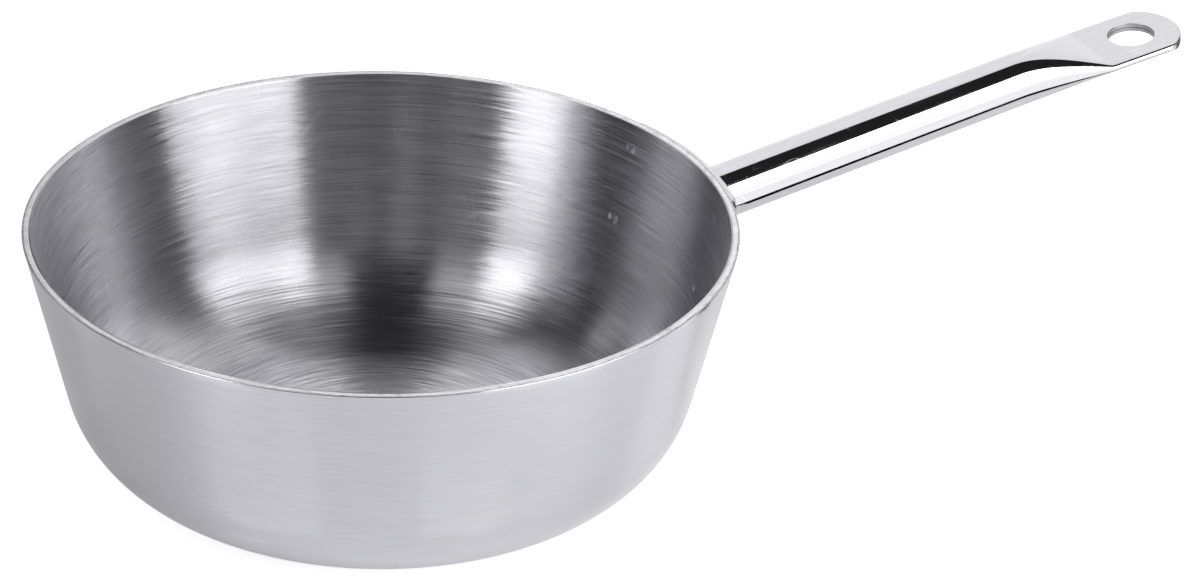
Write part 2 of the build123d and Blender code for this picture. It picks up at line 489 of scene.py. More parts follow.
def plate_quarter(inset):
    """Sides of the bracket plate's quarter beyond the split, as places (across, up) in turn.

    They are the level middle line, the end up to its corner, the round corner, the top back to the
    split, and the split down to the middle line.
    """
    width, height = bracket_half_width - inset, bracket_half_height - inset
    corner = bracket_corner - inset
    angle = np.arange(plate_corner_steps)[:, None] / plate_corner_steps * pi / 2
    turned = (width - corner, height - corner) + corner * np.hstack([np.cos(angle), np.sin(angle)])
    return [
        straight((plate_split, 0), (width, 0), middle_line_steps),
        straight((width, 0), (width, height - corner), plate_end_steps),
        turned,
        straight((width - corner, height), (plate_split, height), plate_top_steps),
        straight((plate_split, height), (plate_split, 0), split_steps),
    ]


def plate_point(place, depth):
    """Points of the bracket for places (across, up) from its middle, at a depth."""
    return on_wall(place[..., 0] / plate_radius, bracket_middle + place[..., 1], depth)


def spot_centre(number, depth):
    """Place of a spot weld on the bracket at a depth; its axis is square to the wall."""
    turn, height = spot_places(0)[number]
    return np.array([turn * plate_radius, height - bracket_middle + depth * sin(flare)])


def plate_face(depth, inset, dish, hole):
    """Grids of one face of the bracket: a patch round each spot weld and one round the collar.

    Rows run from a hole's edge to the patch's sides along rays from the hole's centre. Round a weld
    the face sinks by the dish, along a smooth step. The middle patch comes last, and its hole is
    the circle of the given radius about the tube's axis, slid to the wall. Places up the wall are
    heights, so a distance along it is the height divided by cos(flare).
    """
    sides = plate_quarter(inset)
    height = bracket_half_height - inset
    shares = np.linspace(0, 1, patch_steps + 1)[:, None, None] ** patch_crowding
    patches = []
    for number in range(4):
        mirror = np.array([1 if number % 2 else -1, 1 if number > 1 else -1])
        loop = np.concatenate(sides + [sides[0][:1]]) * mirror
        centre = spot_centre(number, depth)
        angle = np.arctan2((loop[:, 1] - centre[1]) / cos(flare), loop[:, 0] - centre[0])
        edge = centre + spot_radius * np.stack([np.cos(angle), np.sin(angle) * cos(flare)], axis=1)
        patch = edge + shares * (loop - edge)
        distance = np.hypot(patch[..., 0] - centre[0], (patch[..., 1] - centre[1]) / cos(flare))
        sunk = dish * (1 - smooth_step(spot_radius, spot_radius + spot_dish_margin, distance))
        patches.append(plate_point(patch, depth + sunk))
    upper = np.concatenate([
        straight((plate_split, 0), (plate_split, height), split_steps),
        straight((plate_split, height), (-plate_split, height), across_split_steps),
        straight((-plate_split, height), (-plate_split, 0), split_steps),
    ])
    loop = np.concatenate([upper, -upper, upper[:1]])
    crossing = axis_at_rim[2] - axis_setback(depth) * tan(rise) - bracket_middle
    angle = np.arctan2((loop[:, 1] - crossing) / cos(flare), loop[:, 0])
    edge = slid_to_wall(tube_ring(angle, hole), depth)
    turn = np.arctan2(edge[:, 1], edge[:, 0])
    edge_place = np.stack([turn * plate_radius, edge[:, 2] - bracket_middle], axis=1)
    patches.append(plate_point(edge_place + shares * (loop - edge_place), depth))
    return patches


def plate_outline(inset):
    """Loop of places round the bracket plate's edge."""
    quarter = np.concatenate(plate_quarter(inset)[1:4])
    height = bracket_half_height - inset
    top = straight((plate_split, height), (-plate_split, height), across_split_steps)
    mirrored = (quarter * (-1, 1))[:0:-1]
    upper = np.concatenate([quarter, top, [(-plate_split, height)], mirrored])
    return np.concatenate([upper, -upper, upper[:1]])


def bracket_grids():
    """All grids of the bracket: two faces, the rounded edge, the holes' walls and the collar."""
    collar_radius = tube_radius - tube_wall - collar_clearance
    bore_radius = collar_radius - bracket_gauge
    front = plate_face(-bracket_gauge, bracket_edge_rounding, spot_dish, collar_radius)
    back = plate_face(0, 0, 0, bore_radius)
    edge = []
    for angle in np.linspace(0, pi / 2, bracket_edge_steps + 1):
        inset = bracket_edge_rounding * (1 - sin(angle))
        depth = bracket_edge_rounding * (1 - cos(angle)) - bracket_gauge
        edge.append(plate_point(plate_outline(inset), depth))
    edge.append(plate_point(plate_outline(0), 0))
    holes = [np.stack([outer[0], inner[0]]) for outer, inner in zip(front[:4], back[:4])]
    offset = front[4][0] - axis_at_rim
    angle = np.arctan2(offset @ up_tube, offset @ side)
    reach = collar_length - axis_setback(-bracket_gauge) / cos(rise)
    end = [tube_ring(angle, radius, reach) for radius in (collar_radius, bore_radius)]
    collar = np.stack([front[4][0], *end, back[4][0]])
    return [*front, *back, np.stack(edge), *holes, collar]


def nugget(number):
    """One spot weld: a disc through the bracket and the outer skin, with a bowl-shaped outer face.

    Its depth falls from the middle to the edge with the square of the radius.
    """
    edge = spot_radius - nugget_gap
    face = np.linspace(0, edge - nugget_rounding, spot_face_rows)
    turned = np.linspace(0, pi / 2, spot_edge_steps + 1)[1:]
    radius = np.concatenate([face, edge - nugget_rounding * (1 - np.sin(turned)), [edge, 0]])
    bowl = spot_dish + nugget_bowl * (1 - (face / edge) ** 2)
    rounded = bowl[-1] + nugget_rounding * (1 - np.cos(turned))
    depth = np.concatenate([bowl - bracket_gauge, rounded - bracket_gauge, [outer_gauge, outer_gauge]])
    angle = np.linspace(0, 2 * pi, spot_steps + 1)
    turning = np.stack([np.cos(angle), np.sin(angle) * cos(flare)], axis=1)
    centre = np.stack([spot_centre(number, one) for one in depth])
    place = centre[:, None] + radius[:, None, None] * turning
    return plate_point(place, depth[:, None])


def bead_grid():
    """Bead round the tube's root, with a round rippled section between the tube and the bracket.

    A point is root + leg * (cos^p * along the tube + sin^p * out along the plate). Ripples make the
    leg longer by depth * |sin(count * turn / 2)|, and lag behind in the middle of the section.
    """
    turn = np.linspace(0, 2 * pi, ripple_steps * ripple_count + 1)
    section = np.linspace(0, pi / 2, bead_steps + 1)[:, None]
    root = slid_to_wall(tube_ring(turn, tube_radius - contact_sink), -bracket_gauge + contact_sink)
    wide = slid_to_wall(tube_ring(turn, tube_radius + bead_leg), -bracket_gauge + contact_sink)
    outwards = (wide - root) / np.linalg.norm(wide - root, axis=1)[:, None]
    lagged = turn + ripple_lag * np.sin(2 * section)
    leg = bead_leg + ripple_depth * np.abs(np.sin(ripple_count / 2 * lagged)) * np.sin(2 * section)
    reach_along = (leg * np.cos(section) ** bead_power)[..., None] * along_tube
    reach_out = (leg * np.sin(section) ** bead_power)[..., None] * outwards
    surface = root + reach_along + reach_out
    return np.concatenate([surface, root[None], surface[:1]])


def fill(tree, made, values):
    """Fill a node's inputs, or link them to sockets; inputs go by name or number."""
    for key, value in values.items():
        if isinstance(value, bpy.types.NodeSocket):
            tree.links.new(value, made.inputs[key])
        else:
            made.inputs[key].default_value = value


def node(tree, kind, values=None, **settings):
    """Add a node with its settings and its inputs."""
    made = tree.nodes.new(kind)
    for key, value in settings.items():
        setattr(made, key, value)
    fill(tree, made, values or {})
    return made


def calc(tree, operation, *values, clamp=False):
    """Output of a Math node for some values or sockets."""
    made = node(tree, "ShaderNodeMath", dict(enumerate(values)), operation=operation, use_clamp=clamp)
    return made.outputs[0]


def vector_calc(tree, operation, *values):
    """Vector output of a Vector Math node for some values or sockets."""
    return node(tree, "ShaderNodeVectorMath", dict(enumerate(values)), operation=operation).outputs[0]


def measure(tree, operation, *vectors):
    """Number that a Vector Math node measures: a length, a distance or a dot product."""
    made = node(tree, "ShaderNodeVectorMath", dict(enumerate(vectors)), operation=operation)
    return made.outputs["Value"]


def scaled(tree, vector, factor):
    """Vector times a factor."""
    return node(tree, "ShaderNodeVectorMath", {0: vector, 3: factor}, operation="SCALE").outputs[0]


def height_of(tree, vector):
    """Part of a vector along Z."""
    return node(tree, "ShaderNodeSeparateXYZ", {0: vector}).outputs["Z"]


def upright(tree, height):
    """Vector along Z of a given length."""
    return node(tree, "ShaderNodeCombineXYZ", {2: height}).outputs[0]


def object_place(tree):
    """Object coordinates of a place."""
    return node(tree, "ShaderNodeTexCoord").outputs["Object"]


def surface_normal(tree):
    """Normal of the surface at a place."""
    return node(tree, "ShaderNodeNewGeometry").outputs["Normal"]


def ramp(tree, value, low, high, low_value=0.0, high_value=1.0):
    """Smooth ramp of a value between two limits, clamped."""
    made = node(
        tree,
        "ShaderNodeMapRange",
        {"Value": value, "From Min": low, "From Max": high, "To Min": low_value, "To Max": high_value},
        interpolation_type="SMOOTHSTEP",
    )
    return made.outputs[0]


def drawn_out(tree, noise, low_value=0.0, high_value=1.0):
    """Noise, which lies mostly from 0.3 to 0.7, drawn out between two values."""
    return ramp(tree, noise, 0.3, 0.7, low_value, high_value)


def near_band(tree, offset, width):
    """Mask of a band: 1 at no offset, and down to 0 at its width."""
    return calc(tree, "SUBTRACT", 1.0, calc(tree, "DIVIDE", offset, width), clamp=True)


def mix_colour(tree, factor, first, second):
    """Colour between two, by a factor; each is a socket or (red, green, blue)."""
    first, second = ((*one, 1) if isinstance(one, tuple) else one for one in (first, second))
    return node(tree, "ShaderNodeMix", {0: factor, 6: first, 7: second}, data_type="RGBA").outputs[2]


def mix_value(tree, factor, first, second):
    """Value between two, by a factor."""
    return node(tree, "ShaderNodeMix", {0: factor, 2: first, 3: second}).outputs[0]


def noise_at(tree, place, stretch, detail=2.0):
    """Noise of a place stretched by three factors, from 0 to 1."""
    position = vector_calc(tree, "MULTIPLY", place, stretch)
    made = node(tree, "ShaderNodeTexNoise", {"Vector": position, "Scale": 1.0, "Detail": detail})
    return made.outputs[0]


def new_group(name, inputs, outputs):
    """Shader node group with named inputs, whose defaults say their kind, and named outputs."""
    group = bpy.data.node_groups.new(name, "ShaderNodeTree")
    for label, default in inputs.items():
        kind = "NodeSocketVector" if isinstance(default, tuple) else "NodeSocketFloat"
        socket = group.interface.new_socket(label, in_out="INPUT", socket_type=kind)
        socket.default_value = default
    for label, kind in outputs.items():
        group.interface.new_socket(label, in_out="OUTPUT", socket_type=kind)
    return group, group.nodes.new("NodeGroupInput").outputs, group.nodes.new("NodeGroupOutput")


def ring_brushing_group():
    """Lines brushed in rings round Z: a value for their tone, and a normal that they tilt.

    The place is (x/r times the turn scale, y/r times the turn scale, (r + z) times the across
    scale), so that the noise is drawn out along the rings. The lines are the mean of two layers of
    it. The normal leans along the ring by two layers and rolls across it by one.
    """
    group, given, result = new_group(
        "ring_brushing",
        {"Turn Scale": 11.0, "Across Scale": 3000.0, "Lean": 0.1, "Roll": 0.05},
        {"Lines": "NodeSocketFloat", "Normal": "NodeSocketVector"},
    )
    # Each layer's shift, and its shares of the turn scale and of the across scale
    layers = ((0.0, 1.0, 1.0), (31.7, 0.45, 0.6), (67.3, 2.3, 1.4))
    place = object_place(group)
    flat = vector_calc(group, "MULTIPLY", place, (1, 1, 0))
    outwards = vector_calc(group, "NORMALIZE", flat)
    spread = scaled(group, outwards, given["Turn Scale"])
    reach = calc(group, "ADD", measure(group, "LENGTH", flat), height_of(group, place))
    across = calc(group, "MULTIPLY", reach, given["Across Scale"])
    noises = []
    for shift, turn_share, across_share in layers:
        moved = calc(group, "ADD", calc(group, "MULTIPLY", across, across_share), shift)
        position = vector_calc(group, "ADD", scaled(group, spread, turn_share), upright(group, moved))
        values = {"Vector": position, "Scale": 1.0, "Detail": 2.0, "Roughness": 0.6}
        noises.append(node(group, "ShaderNodeTexNoise", values).outputs[0])
    lines = calc(group, "MULTIPLY", calc(group, "ADD", noises[0], noises[1]), 0.5)
    off_one = calc(group, "SUBTRACT", calc(group, "ADD", noises[0], noises[2]), 1.0)
    off_half = calc(group, "SUBTRACT", noises[1], 0.5)
    normal = surface_normal(group)
    along_ring = vector_calc(group, "CROSS_PRODUCT", (0, 0, 1), outwards)
    across_ring = vector_calc(group, "CROSS_PRODUCT", normal, along_ring)
    leaned = scaled(group, along_ring, calc(group, "MULTIPLY", off_one, given["Lean"]))
    rolled = scaled(group, across_ring, calc(group, "MULTIPLY", off_half, given["Roll"]))
    tilted = vector_calc(group, "ADD", vector_calc(group, "ADD", normal, leaned), rolled)
    fill(group, result, {"Lines": lines, "Normal": vector_calc(group, "NORMALIZE", tilted)})
    return group


def hairlines_group():
    """Fine broken scratches in three sets, each long in its own direction.

    A set is the band where a noise drawn out along X of the turned place is near its middle value,
    and only where a broader noise is high.
    """
    group, given, result = new_group(
        "hairlines",
        {"Place": (0.0, 0.0, 0.0), "Scale": 90.0, "Width": 0.012, "Amount": 0.5},
        {"Mask": "NodeSocketFloat"},
    )
    place = scaled(group, given["Place"], given["Scale"])
    total = 0.0
    for turn, shift in ((0.5, 3.0), (-0.35, 11.0), (1.9, 23.0)):
        moves = {"Vector": place, "Rotation": (turn, turn / 2, turn), "Location": (shift,) * 3}
        turned = node(group, "ShaderNodeMapping", moves).outputs[0]
        drawn = noise_at(group, turned, (0.04, 1.0, 1.0), 0.0)
        off_middle = calc(group, "ABSOLUTE", calc(group, "SUBTRACT", drawn, 0.5))
        line = near_band(group, off_middle, given["Width"])
        broken = ramp(group, noise_at(group, turned, (0.3, 0.3, 0.3)), 0.5, 0.62)
        total = calc(group, "ADD", total, calc(group, "MULTIPLY", line, broken))
    fill(group, result, {"Mask": calc(group, "MULTIPLY", total, given["Amount"], clamp=True)})
    return group


def smudges_group():
    """Broad soft patches of handling, from two noises multiplied."""
    group, given, result = new_group("smudges", {"Scale": 30.0}, {"Mask": "NodeSocketFloat"})
    place = scaled(group, object_place(group), given["Scale"])
    broad = ramp(group, noise_at(group, place, (1.0, 1.0, 1.0), 3.0), 0.4, 0.7)
    patches = ramp(group, noise_at(group, place, (2.7, 2.7, 2.7), 4.0), 0.3, 0.75)
    fill(group, result, {"Mask": calc(group, "MULTIPLY", broad, patches)})
    return group


def ground_edge_group():
    """Where the sheets are ground flat: the top of the rim, its grain, and the bond line's pits.

    The depth below the outer face is (rim radius - (pan height - z) tan(flare) - r) cos(flare). The
    bond mask is near 1 within a bond width of the given depth, where a noise round the rim is high.
    """
    group, given, result = new_group(
        "ground_edge",
        {"Bond Depth": 0.0005, "Bond Width": 0.0001},
        {"Top": "NodeSocketFloat", "Grain": "NodeSocketFloat", "Bond": "NodeSocketFloat"},
    )
    place = object_place(group)
    flat = vector_calc(group, "MULTIPLY", place, (1, 1, 0))
    radius = measure(group, "LENGTH", flat)
    outwards = vector_calc(group, "NORMALIZE", flat)
    height = height_of(group, place)
    facing = height_of(group, surface_normal(group))
    high = ramp(group, height, (pan_height - 2 * rim_rounding) * mm, (pan_height - rim_rounding) * mm)
    top = calc(group, "MULTIPLY", high, ramp(group, facing, 0.6, 0.9))
    around = vector_calc(group, "MULTIPLY", outwards, (60, 60, 0))
    across = upright(group, calc(group, "MULTIPLY", radius, 9000.0))
    grain = noise_at(group, vector_calc(group, "ADD", around, across), (1.0, 1.0, 1.0), 3.0)
    cone_foot = (rim_radius - pan_height * tan(flare)) * mm
    face_radius = calc(group, "MULTIPLY_ADD", height, tan(flare), cone_foot)
    depth = calc(group, "MULTIPLY", calc(group, "SUBTRACT", face_radius, radius), cos(flare))
    offset = calc(group, "ABSOLUTE", calc(group, "SUBTRACT", depth, given["Bond Depth"]))
    line = near_band(group, offset, given["Bond Width"])
    broken = ramp(group, noise_at(group, outwards, (55.0, 55.0, 55.0), 4.0), 0.42, 0.6)
    bond = calc(group, "MULTIPLY", line, broken)
    fill(group, result, {"Top": top, "Grain": grain, "Bond": bond})
    return group


def heat_tint_group():
    """Colours that heat leaves on steel, from blue through violet to straw as the distance grows."""
    group, given, result = new_group(
        "heat_tint",
        {"Distance": 0.0, "Reach": 0.004},
        {"Color": "NodeSocketColor", "Mask": "NodeSocketFloat"},
    )
    blue = (0.36, 0.4, 0.52)
    violet = (0.5, 0.38, 0.44)
    straw = (0.66, 0.52, 0.36)
    noise = noise_at(group, object_place(group), (300.0, 300.0, 300.0))
    reach = calc(group, "MULTIPLY", given["Reach"], calc(group, "MULTIPLY_ADD", noise, 0.5, 0.75))
    share = calc(group, "DIVIDE", given["Distance"], reach, clamp=True)
    inner = mix_colour(group, ramp(group, share, 0.0, 0.35), blue, violet)
    colour = mix_colour(group, ramp(group, share, 0.25, 0.65), inner, straw)
    fill(group, result, {"Color": colour, "Mask": ramp(group, share, 0.35, 1.0, 1.0, 0.0)})
    return group


ring_brushing = ring_brushing_group()
hairlines = hairlines_group()
smudges = smudges_group()
ground_edge = ground_edge_group()
heat_tint = heat_tint_group()


def use(tree, group, **values):
    """Place a group in a material with its own values; an underscore stands for a space."""
    labels = {label.replace("_", " "): value for label, value in values.items()}
    return node(tree, "ShaderNodeGroup", labels, node_tree=group).outputs


def new_material(name):
    """Material with its tree and shader."""
    material = bpy.data.materials.new(name)
    material.use_nodes = True
    return material, material.node_tree, material.node_tree.nodes["Principled BSDF"]


def steel_base(name, colour, roughness):
    """Metal material with its tree and shader, ready for its finish."""
    material, tree, shader = new_material(name)
    fill(tree, shader, {"Base Color": (*colour, 1), "Metallic": 1, "Roughness": roughness})
    return material, tree, shader


def tilted_by(tree, height, strength, normal=None):
    """Normal that a Bump node makes from a height, where 1 stands for the bump height."""
    inputs = {"Height": height, "Strength": strength, "Distance": bump_height * mm}
    if normal is not None:
        inputs["Normal"] = normal
    return node(tree, "ShaderNodeBump", inputs).outputs[0]


def ring_tangent(tree):
    """Direction round Z at a place, for rings that the shader stretches its gloss across."""
    round_z = vector_calc(tree, "CROSS_PRODUCT", (0, 0, 1), object_place(tree))
    return vector_calc(tree, "NORMALIZE", round_z)


def ring_finish(name, lines, roughness, anisotropy, brushing_values, scratched, ground, bond_depth):
    """Steel sheet brushed in rings, with handling marks on its face and a ground edge at the rim.

    Lines, roughness and ground are each a pair that a noise mixes.
    """
    material, tree, shader = steel_base(name, lines[0], roughness[0])
    marks = {"Place": object_place(tree), "Scale": 130.0, "Width": 0.006, "Amount": scratched}
    brushing = use(tree, ring_brushing, **brushing_values)
    scratches = use(tree, hairlines, **marks)["Mask"]
    patches = use(tree, smudges, Scale=22.0)["Mask"]
    edge = use(tree, ground_edge, Bond_Depth=bond_depth * mm)
    face = mix_colour(tree, drawn_out(tree, brushing["Lines"]), *lines)
    worn = mix_colour(tree, scratches, face, ground[1])
    ground_top = mix_colour(tree, edge["Grain"], *ground)
    pitted = mix_colour(tree, edge["Bond"], ground_top, (0.12, 0.12, 0.13))
    gloss = drawn_out(tree, brushing["Lines"], *roughness)
    handled = calc(tree, "MULTIPLY_ADD", patches, 0.03, calc(tree, "MULTIPLY_ADD", scratches, 0.1, gloss))
    top_gloss = calc(tree, "MULTIPLY_ADD", edge["Grain"], 0.2, 0.45)
    ground_height = calc(tree, "MULTIPLY", edge["Grain"], edge["Top"])
    fill(tree, shader, {
        "Base Color": mix_colour(tree, edge["Top"], worn, pitted),
        "Roughness": mix_value(tree, edge["Top"], handled, top_gloss),
        "Anisotropic": anisotropy,
        "Anisotropic Rotation": 0.25,
        "Tangent": ring_tangent(tree),
        "Normal": tilted_by(tree, ground_height, 0.15, brushing["Normal"]),
    })
    return material


def brushed_inside():
    """Steel brushed in rings where food goes: glossy along the lines, broad across them."""
    return ring_finish(
        "brushed_inside",
        lines=((0.36, 0.355, 0.382), (0.71, 0.705, 0.74)),
        roughness=(0.27, 0.33),
        anisotropy=1.0,
        brushing_values={"Turn_Scale": 5.0, "Across_Scale": 2800.0, "Lean": 0.085, "Roll": 0.6},
        scratched=0.3,
        ground=((0.76, 0.755, 0.79), (0.9, 0.895, 0.93)),
        bond_depth=core_depth,
    )


def satin_outside():
    """Outer skin: polished almost to a mirror, with very fine lines round it."""
    return ring_finish(
        "satin_outside",
        lines=((0.57, 0.565, 0.61), (0.63, 0.625, 0.67)),
        roughness=(0.14, 0.2),
        anisotropy=0.5,
        brushing_values={"Turn_Scale": 9.0, "Across_Scale": 3600.0, "Lean": 0.012, "Roll": 0.03},
        scratched=0.2,
        ground=((0.5, 0.495, 0.52), (0.62, 0.615, 0.64)),
        bond_depth=outer_gauge,
    )


def rough_cut_edges_painted_shade(tree):
    """Masks of the handle's raw cut edges, which are rougher and carry painted shade: the hole's wall and
    the round end.

    Both go by the distance from the hole's axis, and the end only where it is past the hole.
    """
    from_hole = vector_calc(tree, "SUBTRACT", object_place(tree), tuple(hole_centre * mm))
    off_axis = vector_calc(tree, "CROSS_PRODUCT", from_hole, tuple(up_flat))
    distance = measure(tree, "LENGTH", off_axis)
    wall = ramp(tree, distance, *((hole_radius + margin) * mm for margin in raw_wall_margins), 1.0, 0.0)
    end = ramp(tree, distance, *((tip_radius - margin) * mm for margin in raw_end_margins))
    along = measure(tree, "DOT_PRODUCT", from_hole, tuple(along_flat))
    past_hole = ramp(tree, along, *(start * mm for start in raw_end_start))
    return wall, calc(tree, "MULTIPLY", end, past_hole)


def polished_handle():
    """Handle tube: mirror polish with faint lines along it, hairlines, finger marks, and raw cut edges
    that are rougher and painted darker as shade.

    The object coordinates are turned so that X runs along the tube.
    """
    material, tree, shader = steel_base("polished_handle", (0.64, 0.64, 0.655), 0.05)
    turned = {"Vector": object_place(tree), "Rotation": (0.0, rise, 0.0)}
    place = node(tree, "ShaderNodeMapping", turned).outputs[0]
    lines = noise_at(tree, place, (35.0, 1800.0, 1800.0))
    scratches = use(tree, hairlines, Place=place, Scale=160.0, Width=0.01, Amount=0.8)["Mask"]
    patches = use(tree, smudges, Scale=45.0)["Mask"]
    wall, end = rough_cut_edges_painted_shade(tree)
    polished = mix_colour(tree, drawn_out(tree, lines), (0.62, 0.617, 0.65), (0.66, 0.657, 0.685))
    marked = mix_colour(tree, scratches, polished, (0.72, 0.72, 0.73))
    # Painted shade: the hole's wall is painted darker here, as the shade on that cut edge
    hole_wall_painted_shade = mix_colour(tree, wall, marked, (0.42, 0.42, 0.435))
    gloss = calc(tree, "MULTIPLY_ADD", patches, 0.06, drawn_out(tree, lines, 0.035, 0.075))
    scratched = calc(tree, "MULTIPLY_ADD", scratches, 0.2, gloss)
    height = calc(tree, "SUBTRACT", calc(tree, "MULTIPLY", lines, 0.07), scratches)
    # Painted shade: the round end's cut edge is painted almost black as shade, and both cut edges are
    # made rougher
    fill(tree, shader, {
        "Base Color": mix_colour(tree, end, hole_wall_painted_shade, (0.15, 0.15, 0.155)),
        "Roughness": calc(tree, "MULTIPLY_ADD", calc(tree, "MAXIMUM", wall, end), 0.3, scratched),
        "Normal": tilted_by(tree, height, 0.12),
    })
    return material


def bare_aluminium():
    """Core's ground edge: soft, pale and grainy, with a dark broken bond line at its outer side."""
    material, tree, shader = steel_base("bare_aluminium", (0.7, 0.7, 0.71), 0.4)
    edge = use(tree, ground_edge, Bond_Depth=outer_gauge * mm, Bond_Width=core_bond_width * mm)
    patches = use(tree, smudges, Scale=160.0)["Mask"]
    grain = drawn_out(tree, edge["Grain"])
    ground = mix_colour(tree, grain, (0.72, 0.715, 0.75), (0.88, 0.875, 0.91))
    dulled = mix_colour(tree, patches, ground, (0.58, 0.575, 0.6))
    height = calc(tree, "SUBTRACT", edge["Grain"], edge["Bond"])
    fill(tree, shader, {
        "Base Color": mix_colour(tree, edge["Bond"], dulled, (0.08, 0.08, 0.09)),
        "Roughness": calc(tree, "MULTIPLY_ADD", edge["Grain"], 0.2, 0.5),
        "Normal": tilted_by(tree, height, 0.2),
    })
    return material


def nearest_weld(tree):
    """Distance of a place from the edge of the nearest spot weld or of the tube's root."""
    place = object_place(tree)
    from_axis = vector_calc(tree, "SUBTRACT", place, tuple(axis_at_rim * mm))
    off_axis = vector_calc(tree, "CROSS_PRODUCT", from_axis, tuple(along_tube))
    root_radius = (tube_radius + bead_leg) * mm
    nearest = calc(tree, "SUBTRACT", measure(tree, "LENGTH", off_axis), root_radius)
    for turn, height in spot_places(-bracket_gauge):
        centre = tuple(on_wall(turn, height, -bracket_gauge) * mm)
        distance = measure(tree, "DISTANCE", place, centre)
        nearest = calc(tree, "MINIMUM", nearest, calc(tree, "SUBTRACT", distance, spot_radius * mm))
    return calc(tree, "MAXIMUM", nearest, 0.0)


def satin_bracket():
    """Bracket plate: satin grain across it, with heat tint round its welds."""
    material, tree, shader = steel_base("satin_bracket", (0.6, 0.595, 0.62), 0.3)
    place = object_place(tree)
    grain = noise_at(tree, place, (1500.0, 60.0, 1500.0), 3.0)
    scratches = use(tree, hairlines, Place=place, Scale=120.0, Width=0.01, Amount=0.6)["Mask"]
    tint = use(tree, heat_tint, Distance=nearest_weld(tree), Reach=bracket_tint_reach * mm)
    strength = calc(tree, "MULTIPLY", tint["Mask"], 0.4)
    plain = mix_colour(tree, drawn_out(tree, grain), (0.54, 0.535, 0.56), (0.63, 0.625, 0.65))
    gloss = drawn_out(tree, grain, 0.2, 0.34)
    fill(tree, shader, {
        "Base Color": mix_colour(tree, strength, plain, tint["Color"]),
        "Roughness": calc(tree, "MULTIPLY_ADD", scratches, 0.15, gloss),
        "Normal": tilted_by(tree, calc(tree, "SUBTRACT", grain, scratches), 0.15),
    })
    return material


def weld_metal():
    """Bead and nuggets: melted steel, dull and finely grained, tinted where it was hottest."""
    material, tree, shader = steel_base("weld_metal", (0.55, 0.54, 0.55), 0.35)
    grain = noise_at(tree, object_place(tree), (1400.0, 1400.0, 1400.0), 4.0)
    patches = use(tree, smudges, Scale=150.0)["Mask"]
    distance = calc(tree, "MULTIPLY", patches, weld_tint_reach * mm)
    tint = use(tree, heat_tint, Distance=distance, Reach=weld_tint_reach * mm)
    strength = calc(tree, "MULTIPLY", tint["Mask"], 0.35)
    plain = mix_colour(tree, drawn_out(tree, grain), (0.45, 0.44, 0.45), (0.6, 0.59, 0.6))
    fill(tree, shader, {
        "Base Color": mix_colour(tree, strength, plain, tint["Color"]),
        "Roughness": drawn_out(tree, grain, 0.26, 0.44),
        "Normal": tilted_by(tree, grain, 0.5),
    })
    return material


inside_finish = brushed_inside()
outside_finish = satin_outside()
handle_finish = polished_handle()
bracket_finish = satin_bracket()
weld_finish = weld_metal()
core_finish = bare_aluminium()

turns = np.linspace(0, 2 * pi, turn_steps + 1)
dimple_turns = finer_at_welds(turns)
outer_sheet = sheet(0, outer_gauge, rim_rounding, bond_groove, seen_rows, bonded_rows, turns)
core_sheet = sheet(
    outer_gauge, core_depth, bond_groove, bond_groove, bonded_rows, bonded_rows, turns
)
inner_sheet = sheet(
    core_depth, sheet_gauge, bond_groove, food_edge_rounding, bonded_rows, food_rows, dimple_turns
)
nuggets = [nugget(number) for number in range(4)]

build("outer_skin_sheet", [outer_sheet], outside_finish, ["outer_skin"])
build("core_sheet", [core_sheet], core_finish, ["aluminium_core"])
build("inner_skin_sheet", [dimpled(inner_sheet)], inside_finish, ["inner_skin"])
build("handle_tube_polished", handle_grids(), handle_finish, ["handle_tube"])
build("bracket_plate", bracket_grids(), bracket_finish, ["handle_bracket"])
build("spot_weld_nuggets", nuggets, weld_finish, ["spot_welds"])
build("root_bead", [bead_grid()], weld_finish, ["handle_weld"], bead_sharp_turn)

# Camera: its place in metres and its turn in degrees follow the rim's ellipses in the photograph
camera_place = (-0.491256, -1.007224, 0.64353)
camera_turn = (62.18617, -1.674633, -28.256247)
camera_data = bpy.data.cameras.new("camera")
camera_data.sensor_width = 36
camera_data.lens = 135
camera_data.clip_start = 0.05
camera = new_object("camera", camera_data)
camera.location = camera_place
camera.rotation_euler = Euler(map(radians, camera_turn))
bpy.context.scene.camera = camera
bpy.context.scene.view_settings.view_transform = "Standard"

# Studio, in metres from here on
studio_turn = radians(-26)
white = (1, 1, 1, 1)
box_reach = 0.8


def studio_place(right, away, height):
    """Point given to the right of the pan's axis as the camera sees it, away from it and up."""
    return Matrix.Rotation(studio_turn, 4, "Z") @ Vector((right, away, height))


def towards(tree, place, right, away):
    """How far a place lies along a level direction of the studio."""
    return measure(tree, "DOT_PRODUCT", place, tuple(studio_place(right, away, 0)))


def soft_box(name, azimuth, width, low, high, radiance):
    """Upright area lamp on a ring round the pan, of even brightness, that faces the pan's axis.

    Its azimuth in degrees goes from the camera's side towards the right, and its power is pi times
    radiance times area.
    """
    turn = radians(azimuth)
    middle = (low + high) / 2
    data = bpy.data.lights.new(name, "AREA")
    data.shape = "RECTANGLE"
    data.size = width
    data.size_y = high - low
    data.energy = pi * radiance * width * (high - low)
    lamp = new_object(name, data)
    place = studio_place(box_reach * sin(turn), -box_reach * cos(turn), middle)
    aim = studio_place(0, 0, middle)
    lamp.location = place
    lamp.rotation_euler = (aim - place).to_track_quat("-Z", "Y").to_euler()
    lamp.visible_camera = False


